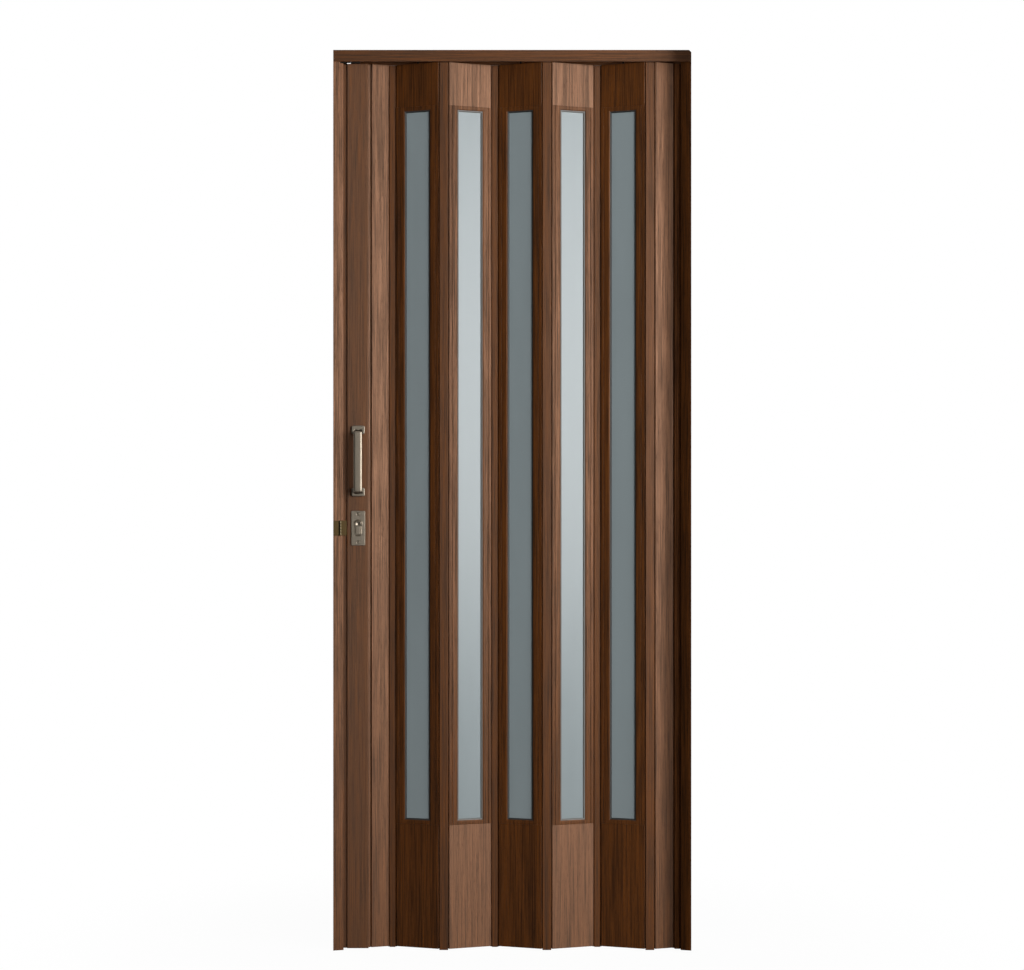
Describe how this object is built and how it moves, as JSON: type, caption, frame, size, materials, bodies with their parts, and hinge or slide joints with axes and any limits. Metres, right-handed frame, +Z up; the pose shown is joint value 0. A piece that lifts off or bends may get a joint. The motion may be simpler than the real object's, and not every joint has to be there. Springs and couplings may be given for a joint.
{
  "type": "folding door",
  "caption": "Closed concertina folding door: hollow slats with frosted windows, hinged by narrow posts, hang from a track between two jambs, with a lock and pull handles.",
  "frame": {"origin": "middle of the track's top face, where it is screwed to the lintel", "axes": "+Z up, -Y towards the front seen in the picture, +X towards the fixed jamb, so the lock is at -X"},
  "size_m": [0.815, 0.094, 2.05],
  "materials": {
    "walnut_track": "satin walnut grain foil, grain along the track",
    "walnut_jamb": "satin walnut grain foil, upright grain",
    "walnut_stile": "satin walnut grain foil, upright grain",
    "walnut_slat": "satin walnut grain foil, upright grain",
    "walnut_post": "satin walnut grain foil, upright grain",
    "walnut_frame": "satin walnut grain foil, upright grain",
    "frosted_pane": "frosted, satin",
    "nickel": "satin nickel",
    "bronze": "dark bronze",
    "steel": "zinc plated",
    "nylon": "natural nylon"
  },
  "bodies": {
    "root": {"header_track": "walnut_track", "strike_jamb": "walnut_jamb", "fixed_jamb": "walnut_jamb", "strike_keeper": "bronze", "strike_plate": "steel", "lock_stile": "walnut_stile", "lock_case": "steel", "lock_forend": "steel", "lock_bolt": "steel", "lock_cylinder": "nickel", "lock_plate_front": "nickel", "lock_plate_rear": "nickel", "pull_handle_front": "nickel", "pull_handle_rear": "nickel", "half_slat_lock": "walnut_slat", "half_slat_end": "walnut_slat", "end_stile": "walnut_post", "hinge_post_1": "walnut_post", "hinge_post_2": "walnut_post", "hinge_post_3": "walnut_post", "hinge_post_4": "walnut_post", "hinge_post_5": "walnut_post", "hinge_post_6": "walnut_post", "slat_1": "walnut_slat", "window_frame_1": "walnut_frame", "glass_pane_1": "frosted_pane", "slat_2": "walnut_slat", "window_frame_2": "walnut_frame", "glass_pane_2": "frosted_pane", "slat_3": "walnut_slat", "window_frame_3": "walnut_frame", "glass_pane_3": "frosted_pane", "slat_4": "walnut_slat", "window_frame_4": "walnut_frame", "glass_pane_4": "frosted_pane", "slat_5": "walnut_slat", "window_frame_5": "walnut_frame", "glass_pane_5": "frosted_pane", "carrier_slat_1": "nylon", "carrier_slat_3": "nylon", "carrier_slat_5": "nylon", "carrier_lock_stile": "nylon"}
  },
  "joints": []
}
